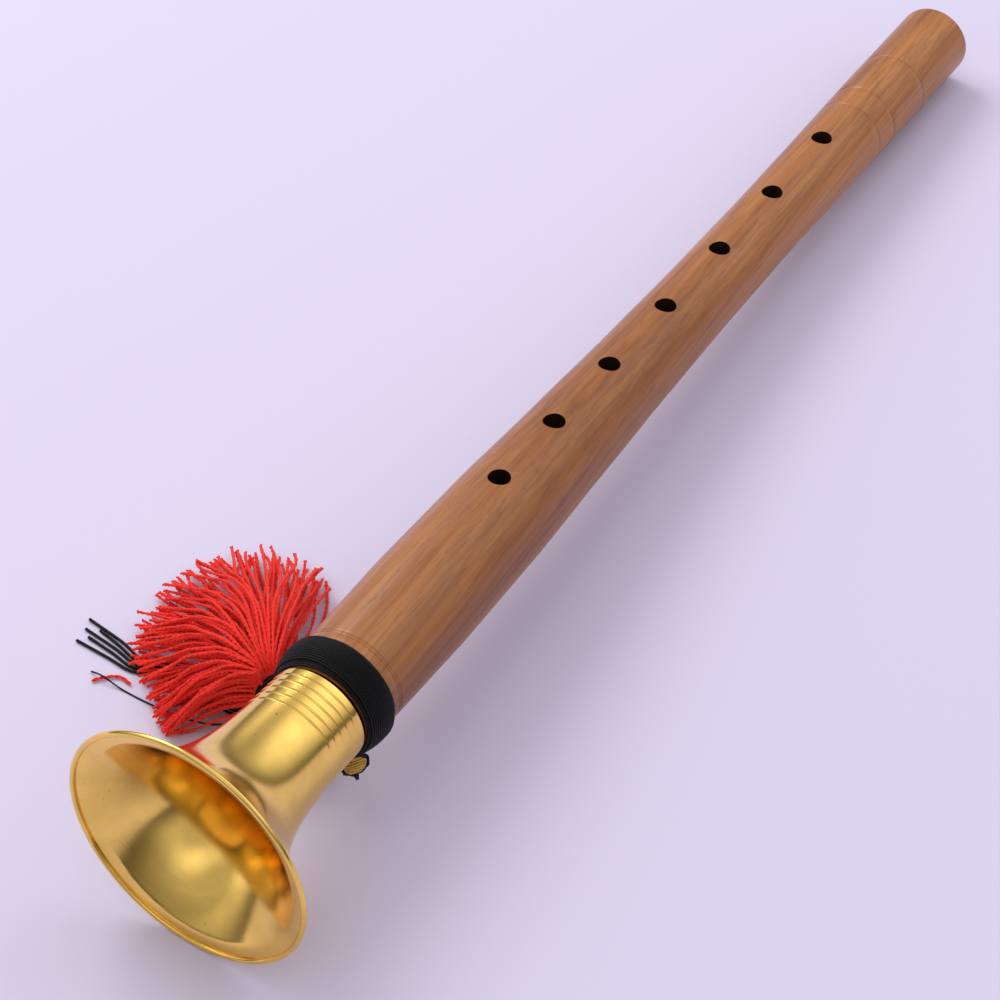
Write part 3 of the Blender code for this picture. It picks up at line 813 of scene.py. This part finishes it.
def lap_tenon():
    """Waxed thread wound round the tenon, one turn beside the other."""
    count = LAPPING_TURNS * LAPPING_POINTS
    route = []
    for i in range(count + 1):
        angle = 2 * pi * i / LAPPING_POINTS
        place = between(LAPPING_END + LAPPING_INSET, COLLAR_EDGE - LAPPING_INSET, i / count)
        route.append(FOOT @ Vector((LAPPING_MIDDLE * cos(angle), LAPPING_MIDDLE * sin(angle), place)))
    strands("tenon_thread", [route], LAPPING_THREAD, "pipe", "black_thread", ["tenon_lapping"],
            resolution=1)


class SHEHNAI_OT_pipe(bpy.types.Operator):
    """Turn the wooden pipe, drill its finger holes and lap its tenon"""

    bl_idname = "shehnai.pipe"
    bl_label = "Pipe"

    def execute(self, context):
        bore = [
            (bore_radius(SHOULDER_PLACE), SHOULDER_PLACE),
            (BORE_TOP, LENGTH - BORE_EASE),
            (BORE_TOP + BORE_EASE, LENGTH),
        ]
        mesh = spun_mesh("pipe", pipe_outline() + bore, PIPE_STEPS, PIPE)
        pipe = finish_piece("pipe", mesh, "pipe", "oiled_wood", ["pipe_body"])
        drill_holes(pipe, context)
        darken_inside(pipe.data)
        wear_edges(pipe)
        turn_tenon()
        lap_tenon()
        return {"FINISHED"}


# Bell


def bell_outside():
    """The bell's outer side with its grooves, from the collar's edge to the lip."""
    points = [
        (bell_radius(COLLAR_EDGE) - COLLAR_CHAMFER, COLLAR_EDGE),
        (bell_radius(COLLAR_EDGE), COLLAR_EDGE - COLLAR_CHAMFER),
    ]
    depths = {
        place: 0.0
        for place in spaced(*OUTER_PLACES, OUTER_ROWS)
        if all(abs(place - groove) > 1.5 * GROOVE_HALF for groove in GROOVES)
    }
    for groove in GROOVES:
        depths[groove] = GROOVE_DEPTH
        for side in (-GROOVE_HALF, GROOVE_HALF):
            depths[groove + side / 2] = GROOVE_SIDE_DEPTH
            depths[groove + side] = 0.0
    return points + [(bell_radius(p) - depths[p], p) for p in sorted(depths, reverse=True)]


def bell_lip():
    """The rolled lip round the mouth."""
    return [
        (MOUTH_RADIUS + LIP_RADIUS * cos(a), LIP_RADIUS + LIP_RADIUS * sin(a))
        for a in spaced(*LIP_ANGLES, LIP_POINTS)
    ]


def bell_inside():
    """The bell's inner side, one wall in from its outer side, up to the collar's edge."""
    points = []
    for place in spaced(*INNER_PLACES, INNER_ROWS):
        slope = (bell_radius(place + SLOPE_STEP) - bell_radius(place - SLOPE_STEP)) / (2 * SLOPE_STEP)
        size = hypot(1, slope)
        radius = max(COLLAR_INNER, bell_radius(place) - WALL / size)
        points.append((radius, place + WALL * slope / size))
    return points + [(COLLAR_INNER, LAPPING_END), (COLLAR_INNER, COLLAR_EDGE)]


class SHEHNAI_OT_bell(bpy.types.Operator):
    """Spin the brass bell with its grooved collar and rolled lip"""

    bl_idname = "shehnai.bell"
    bl_label = "Bell"

    def execute(self, context):
        outline = bell_outside() + bell_lip() + bell_inside()
        mesh = spun_mesh("bell_spun", outline, BELL_STEPS, FOOT)
        finish_piece("bell_spun", mesh, "bell", "polished_brass", ["bell"])
        return {"FINISHED"}


# Binding


def winding_layer(layer, phase):
    """One layer of the winding, a helix that sways a little as thread wound by hand does."""
    rise, turns = WINDING_LAYERS[layer]
    inset = LAYER_INSET * layer
    low, high = WINDING_PLACES
    count = turns * WINDING_POINTS
    route = []
    for i in range(count + 1):
        angle = 2 * pi * i / WINDING_POINTS + KNOT_ANGLE
        place = between(low + inset, high - inset, i / count)
        place += LAYER_SWAY * layer * sin(angle + phase) + TURN_SWAY * sin(TURN_WAVES * angle + phase)
        wave = sin(RISE_WAVES * angle + phase * i / RISE_DRIFT)
        radius = binding_radius(place) + rise + TURN_RISE * wave
        route.append(PIPE @ Vector((-radius * cos(angle), radius * sin(angle), place)))
    return route


def knot_loop(tilt):
    """One loop of the knot, tilted about the knot's middle."""
    turn = Matrix.Rotation(tilt, 4, "Y")
    loop = []
    for a in around(KNOT_POINTS):
        at = Vector((KNOT_WIDTH * cos(a), KNOT_SWAY * sin(KNOT_WAVES * a), KNOT_HEIGHT * sin(a)))
        loop.append(KNOT + turn @ at)
    return loop


class SHEHNAI_OT_binding(bpy.types.Operator):
    """Wind the black thread over the joint, and knot it"""

    bl_idname = "shehnai.binding"
    bl_label = "Binding"

    def execute(self, context):
        core = [(binding_radius(p) + CORE_OUTER_RISE, p) for p in spaced(*CORE_PLACES, CORE_ROWS)]
        core += [(pipe_radius(p) + CORE_INNER_RISE, p) for p in reversed(CORE_PLACES)]
        mesh = spun_mesh("binding_base", core, CORE_STEPS, PIPE)
        finish_piece("binding_base", mesh, "pipe", "black_thread", ["binding_core"])
        dice = Random(7)
        layers = [winding_layer(layer, dice.uniform(0, 6)) for layer in range(len(WINDING_LAYERS))]
        strands("binding_thread", layers, WINDING_THREAD, "pipe", "black_thread", ["binding_winding"])
        loops = [knot_loop(pi * k / KNOT_LOOPS) for k in range(KNOT_LOOPS)]
        strands("knot_loops", loops, KNOT_THREAD, "pipe", "black_thread", ["binding_knot"], cyclic=True)
        return {"FINISHED"}


# Tassel


def strand_route(direction, reach, level, dice):
    """One strand's middle line from the neck out to its cut end, in the world."""
    swirl = radians(dice.uniform(*SWIRL_DEGREES))
    swirl *= min(1.0, max(0.0, (direction - SWIRL_START) / SWIRL_RISE))
    wander = dice.uniform(-1, 1)
    wave = dice.uniform(0, 2 * pi)
    from_middle = NECK_RADIUS * NECK_FILL * sqrt(dice.random())
    spin = dice.uniform(0, 2 * pi)
    side = max(-NECK_SIDE, min(NECK_SIDE, (direction - FAN_DIRECTION) / NECK_TURN))
    start = -FAN_ACROSS * (from_middle * cos(spin) * NECK_FLATTEN + side * NECK_HALF)
    start.z = NECK_HEIGHT + between(-NECK_RISE, NECK_RISE, level) * sqrt(1 - side * side)
    points = [FAN + FAN_OUT * place + start for place in (STRAND_START, TIE_PLACE)]
    for share in STRAND_SHARES:
        turn = direction - swirl * sin(pi * min(1, share * SWIRL_STRETCH))
        turn += WANDER * wander * sin(share * WANDER_WAVE + wave)
        length = reach * share
        z = between(along(FAN_LOW, share), along(FAN_TOP, share), level)
        z += RIPPLE * sin(share * RIPPLE_WAVE + wave)
        points.append(FAN + Vector((cos(turn) * length, sin(turn) * length, max(STRAND_LOWEST, z))))
    return smooth_route(points, STRAND_STEP)


def fan_plies(looks):
    """The plies of the fan's strands, in the groups of TUFT_GROUPS."""
    dice = Random(23)
    count = looks.strand_count
    groups = [[] for _ in TUFT_GROUPS]
    for i in range(count):
        share = ((i + 0.5) / count) ** FAN_CROWDING
        stray = dice.uniform(-DIRECTION_STRAY, DIRECTION_STRAY)
        direction = radians(between(*FAN_EDGES, share) + stray)
        level = ((i * LEVEL_TURN) % 1.0) ** LEVEL_POWER
        reach = along(FAN_REACH, direction * 180 / pi) * dice.uniform(*REACH_STRAY)
        route = strand_route(direction, reach, level, dice)
        plies = plied(route, looks.yarn_thickness * PLY_OFFSET, YARN_PITCH, dice.uniform(0, 6))
        groups[i * len(groups) // count] += plies
    return groups


def spread_fan(looks):
    """The fan's loose strands, and the one that lies apart."""
    thickness = looks.yarn_thickness * PLY_THICKNESS
    for i, (plies, tufts) in enumerate(zip(fan_plies(looks), TUFT_GROUPS)):
        nodes = [f"yarn_tuft_{tuft}" for tuft in tufts]
        strands(f"yarn_strands_{i + 1}", plies, thickness, "tassel", "red_yarn", nodes, resolution=1)
    thickness = looks.yarn_thickness * STRAY_PLY_THICKNESS
    stray = smooth_route([FAN + Vector((x, y, STRAY_HEIGHT)) for x, y in STRAY_ROUTE], STRAY_STEP)
    plies = plied(stray, looks.yarn_thickness * STRAY_PLY_OFFSET, YARN_PITCH, 0)
    strands("loose_strand", plies, thickness, "tassel", "red_yarn", ["stray_yarn"], resolution=1)


def folded_arc(k):
    """One strand folded over the tassel's head."""
    radius = FOLDED_RADIUS + FOLDED_UNEVEN * sin(k * FOLDED_WAVE)
    arc = []
    for a in spaced(*FOLDED_ANGLES, FOLDED_POINTS):
        turn = 2 * pi * k / FOLDED_COUNT + FOLDED_LEAN * a
        out = radius * sin(a)
        arc.append(NECK @ Vector((out * cos(turn), out * sin(turn), radius * cos(a) - HEAD_BACK)))
    return arc


def fold_head():
    """The folded top of the yarn, round a core that fills it, the neck and the swell after the tie."""
    dome = [
        (DOME_RADIUS * sin(a), DOME_RADIUS * cos(a) - HEAD_BACK)
        for a in spaced(*DOME_ANGLES, DOME_POINTS)
    ]
    dome[-1] = (0.0, dome[-1][1])
    mesh = spun_mesh("tassel_core", SKIRT + dome, HEAD_STEPS, NECK, closed=False)
    finish_piece("tassel_core", mesh, "tassel", "red_yarn", ["tassel_head"])
    plies = []
    for k in range(FOLDED_COUNT):
        plies += plied(folded_arc(k), FOLDED_PLY_OFFSET, FOLDED_PITCH, k)
    strands("folded_strands", plies, FOLDED_PLY, "tassel", "red_yarn", resolution=1)


def tie_loop(k):
    """One loop of the black thread wound round the neck."""
    place = TIE_PLACE - TIE_START + TIE_PITCH * k
    radius = TIE_RADIUS - TIE_SINK + TIE_STEP * (k % 2)
    loop = []
    for a in around(TIE_POINTS):
        loop.append(NECK @ Vector((radius * cos(a), radius * sin(a), place + TIE_SWAY * sin(a + k))))
    return loop


def hang_tassel():
    """The short two-ply cord from the knot to the tassel's head."""
    start = KNOT - Vector((0, 0, HANGER_BELOW_KNOT))
    end = FAN + Vector((0, 0, NECK_HEIGHT + HEAD_RADIUS + HANGER_ABOVE_HEAD))
    drop = Vector((0, 0, (start.z - end.z) / 4))
    route = smooth_route([start, start - drop, end + drop, end], HANGER_STEP)
    plies = plied(route, HANGER_PLY_OFFSET, HANGER_PITCH, 0)
    strands("hanger_cord", plies, HANGER_PLY, "tassel", "black_thread", ["tassel_hanger"])


class SHEHNAI_OT_tassel(bpy.types.Operator):
    """Gather the red yarn: folded head, neck, tie and a fan of loose two-ply strands"""

    bl_idname = "shehnai.tassel"
    bl_label = "Tassel"

    def execute(self, context):
        spread_fan(context.scene.shehnai_looks)
        fold_head()
        loops = [tie_loop(k) for k in range(TIE_LOOPS)]
        strands("tie_loops", loops, TIE_PLY, "tassel", "black_thread", ["tassel_tie"], cyclic=True)
        hang_tassel()
        return {"FINISHED"}


# Loose threads


def under_tie(sideways, thickness):
    """Where a thread starts under the tie, sideways of the neck's line, from under the neck."""
    reach = TIE_RADIUS + TIE_THREAD / 2 + SEAT_GAP + thickness / 4
    drop = reach * cos(asin(sideways / reach))
    return FAN_OUT * TIE_PLACE + FAN_ACROSS * sideways + Vector((0, 0, NECK_HEIGHT - drop))


def lay_cord(name, node, knots, diameter):
    """One free thread end on its route."""
    route = [FAN + p for p in smooth_route(knots, diameter * 3)]
    cord = strands(name, [route], diameter, "tassel", "black_thread", [node])


class SHEHNAI_OT_threads(bpy.types.Operator):
    """Lay the tie's loose thread ends on the table"""

    bl_idname = "shehnai.threads"
    bl_label = "Loose threads"

    def execute(self, context):
        on_table = TAIL / 2 + FLOOR_GAP
        for i, (end_x, end_y) in enumerate(TAIL_ENDS):
            beside = (len(TAIL_ENDS) // 2 - i) * TAIL_PITCH
            halfway = between(TAIL_ROUTE[-1][0] + beside, end_x, 0.5)
            knots = [under_tie(beside, TAIL)]
            knots += [Vector((x + beside, y, z + on_table)) for x, y, z in TAIL_ROUTE]
            knots.append(Vector((halfway, TAIL_SPREAD, on_table)))
            knots.append(Vector((end_x, end_y, on_table)))
            lay_cord(f"loose_end_{i + 1}", f"thread_tail_{i + 1}", knots, TAIL)
        on_table = THIN_THREAD / 2 + FLOOR_GAP
        knots = [under_tie(THIN_START, THIN_THREAD)]
        knots += [Vector((x, y, z + on_table)) for x, y, z in THIN_ROUTE]
        lay_cord("loose_end_thin", "thin_thread", knots, THIN_THREAD)
        return {"FINISHED"}


# Pendant


def gilt_arc(side, lift):
    """One gilt thread across the bead, on its front or its back."""
    half = sqrt(GILT_REACH**2 - lift**2)
    arc = []
    for a in spaced(-1, 1, GILT_POINTS):
        x = a * half
        y = lift + GILT_BOW * (1 - a * a)
        out = min(1.0, hypot(x, y) / GILT_EDGE)
        arc.append(BEAD @ Vector((x, y, side * (GILT_DOME * sqrt(1 - out * out) + GILT_LIFT))))
    return arc


def edging_loop(k):
    """One wavy loop of the black edging."""
    loop = []
    for a in around(EDGING_POINTS):
        wave = EDGING_WAVES * a + EDGING_SHIFT * k
        radius = EDGING_RADIUS + EDGING_PITCH * k + EDGING_SWAY * sin(wave)
        loop.append(BEAD @ Vector((radius * cos(a), radius * sin(a), EDGING_DEPTH * cos(wave))))
    return loop


def tuft_fibre(dice):
    """One fibre of the small tuft under the bead."""
    x = dice.uniform(-TUFT_WIDTH, TUFT_WIDTH)
    start = Vector((x, TUFT_TOP, dice.uniform(-TUFT_DEPTH, TUFT_DEPTH)))
    x = dice.uniform(-TUFT_STRAY, TUFT_STRAY) + TUFT_ASIDE
    tip = Vector((x, TUFT_TIP - dice.uniform(0, TUFT_UNEVEN), 0))
    return [BEAD @ start.lerp(tip, share) for share in (0, 0.35, 0.7, 1)]


class SHEHNAI_OT_pendant(bpy.types.Operator):
    """Wind the gilt bead, its black edging, its cord and its small tuft"""

    bl_idname = "shehnai.pendant"
    bl_label = "Pendant"

    def execute(self, context):
        lens = [(BEAD_RADIUS * sin(a), BEAD_HALF * cos(a)) for a in spaced(0, pi, BEAD_POINTS)]
        mesh = spun_mesh("bead_base", lens, BEAD_STEPS, BEAD, closed=False)
        finish_piece("bead_base", mesh, "pendant", "gilt_thread", ["gilt_bead"])
        rows = spaced(-GILT_TOP, GILT_TOP, GILT_ROWS)
        arcs = [gilt_arc(side, lift) for side in (1, -1) for lift in rows]
        strands("gilt_strands", arcs, GILT_THREAD, "pendant", "gilt_thread")
        loops = [edging_loop(k) for k in range(EDGING_LOOPS)]
        strands("edging_loops", loops, EDGING_THREAD, "pendant", "black_thread", ["bead_edging"],
                cyclic=True)
        dice = Random(5)
        fibres = [tuft_fibre(dice) for _ in range(TUFT_FIBRES)]
        strands("pendant_tuft", fibres, TUFT_FIBRE, "pendant", "black_thread", resolution=1)
        cord = [HOOK + Vector((0, 0, z)) for z in spaced(*LOOP_PLACES, LOOP_POINTS)]
        plies = plied(cord, LOOP_PLY_OFFSET, LOOP_PITCH, 0)
        strands("pendant_loop", plies, LOOP_PLY, "pendant", "black_thread", ["pendant_cord"])
        return {"FINISHED"}


# Stage


def lay_floor(scene, colour):
    """The floor, which is no part of the object."""
    form = bmesh.new()
    bmesh.ops.create_grid(form, x_segments=2, y_segments=2, size=FLOOR_SIZE)
    mesh = bpy.data.meshes.new("floor")
    form.to_mesh(mesh)
    form.free()
    mesh.materials.append(floor_material(colour))
    floor = bpy.data.objects.new("floor", mesh)
    scene.collection.objects.link(floor)


def light_room(scene, strength):
    """A room that is dark low down and bright overhead, with soft lighter panels for the brass."""
    world = bpy.data.worlds.new("soft_room")
    scene.world = world
    world.use_nodes = True
    tree = world.node_tree
    background = tree.nodes["Background"]
    background.inputs["Strength"].default_value = strength
    coords = add_node(tree, "ShaderNodeTexCoord")
    height = add_node(tree, "ShaderNodeSeparateXYZ")
    room = add_node(tree, "ShaderNodeValToRGB")
    for element, (position, colour) in zip(room.color_ramp.elements, ROOM_COLOURS):
        element.position = position
        element.color = colour
    panels = add_node(tree, "ShaderNodeTexNoise", Scale=PANEL_SCALE, Detail=0.0)
    tree.links.new(coords.outputs["Generated"], height.inputs[0])
    tree.links.new(height.outputs["Z"], room.inputs["Fac"])
    tree.links.new(coords.outputs["Generated"], panels.inputs["Vector"])
    brightness = ranged(tree, panels.outputs["Fac"], PANEL_LIGHT, PANEL_NOISE)
    tree.links.new(multiply(tree, room.outputs["Color"], brightness), background.inputs["Color"])


def light_window(scene, power):
    """One wide soft lamp, high on the tassel's side."""
    light = bpy.data.lights.new("window", "AREA")
    light.shape = "RECTANGLE"
    light.size, light.size_y = WINDOW_SIZE
    light.energy = power
    light.color = WINDOW_COLOUR
    lamp = bpy.data.objects.new("window", light)
    lamp.location = WINDOW_PLACE
    lamp.rotation_euler = (WINDOW_AIM - WINDOW_PLACE).to_track_quat("-Z", "Y").to_euler()
    scene.collection.objects.link(lamp)


def place_camera(scene):
    """The camera that sees the object as the photograph does."""
    lens = bpy.data.cameras.new("photo_view")
    lens.lens = CAMERA_LENS
    lens.sensor_width = CAMERA_SENSOR
    lens.clip_end = CAMERA_FAR
    camera = bpy.data.objects.new("photo_view", lens)
    camera.location = Vector((MOUTH.x, MOUTH.y, 0)) + CAMERA_FROM_MOUTH
    camera.rotation_euler = (pi / 2 - CAMERA_PITCH, 0, CAMERA_YAW - pi / 2)
    scene.collection.objects.link(camera)
    scene.camera = camera


class SHEHNAI_OT_stage(bpy.types.Operator):
    """Set the pale floor, the soft light and the camera"""

    bl_idname = "shehnai.stage"
    bl_label = "Stage"

    def execute(self, context):
        scene = context.scene
        looks = scene.shehnai_looks
        lay_floor(scene, looks.floor_colour)
        light_room(scene, looks.room_light)
        light_window(scene, looks.window_light)
        place_camera(scene)
        scene.view_settings.view_transform = "Standard"
        return {"FINISHED"}


# Settings, panel and registration


class ShehnaiLooks(bpy.types.PropertyGroup):
    """Sizes and colours that a user may change"""

    wood_dark: FloatVectorProperty(
        name="Wood, dark", description="Colour of the wood's darker figure", subtype="COLOR",
        size=3, min=0, max=1, default=(0.235, 0.070, 0.015))
    wood_light: FloatVectorProperty(
        name="Wood, light", description="Colour of the wood's paler figure", subtype="COLOR",
        size=3, min=0, max=1, default=(0.590, 0.240, 0.062))
    brass_colour: FloatVectorProperty(
        name="Brass", description="Colour of the polished bell", subtype="COLOR",
        size=3, min=0, max=1, default=(1.0, 0.65, 0.16))
    yarn_colour: FloatVectorProperty(
        name="Yarn", description="Colour of the tassel", subtype="COLOR",
        size=3, min=0, max=1, default=(1.0, 0.042, 0.026))
    floor_colour: FloatVectorProperty(
        name="Floor", description="Colour of the floor", subtype="COLOR",
        size=3, min=0, max=1, default=(0.72, 0.675, 0.865))
    yarn_thickness: FloatProperty(
        name="Yarn thickness", description="Diameter of one strand", subtype="DISTANCE", default=0.0012)
    strand_count: IntProperty(name="Strands", description="Strands in the tassel", default=190, min=20)
    room_light: FloatProperty(name="Room light", description="Strength of the even light", default=0.88)
    window_light: FloatProperty(
        name="Window light", description="Strength of the soft lamp", subtype="POWER", default=13.0)


class SHEHNAI_PT_panel(bpy.types.Panel):
    """Sizes, colours and steps of the shehnai"""

    bl_idname = "SHEHNAI_PT_panel"
    bl_label = "Shehnai"
    bl_space_type = "VIEW_3D"
    bl_region_type = "UI"
    bl_category = "Shehnai"

    def draw(self, context):
        looks = context.scene.shehnai_looks
        for name in looks.__annotations__:
            self.layout.prop(looks, name)
        for operator in OPERATORS:
            self.layout.operator(operator.bl_idname)


OPERATORS = (
    SHEHNAI_OT_stage, SHEHNAI_OT_threads, SHEHNAI_OT_pipe, SHEHNAI_OT_bell, SHEHNAI_OT_binding,
    SHEHNAI_OT_tassel, SHEHNAI_OT_pendant,
)
CLASSES = (ShehnaiLooks,) + OPERATORS + (SHEHNAI_PT_panel,)


def register():
    """Make the settings, the steps and the panel known to Blender."""
    for each in CLASSES:
        bpy.utils.register_class(each)
    bpy.types.Scene.shehnai_looks = PointerProperty(type=ShehnaiLooks)


def unregister():
    """Take them back."""
    del bpy.types.Scene.shehnai_looks
    for each in reversed(CLASSES):
        bpy.utils.unregister_class(each)


def main():
    """Run every step."""
    register()
    bpy.ops.shehnai.stage()
    bpy.ops.shehnai.threads()
    bpy.ops.shehnai.pipe()
    bpy.ops.shehnai.bell()
    bpy.ops.shehnai.binding()
    bpy.ops.shehnai.tassel()
    bpy.ops.shehnai.pendant()


if __name__ == "__main__":
    main()
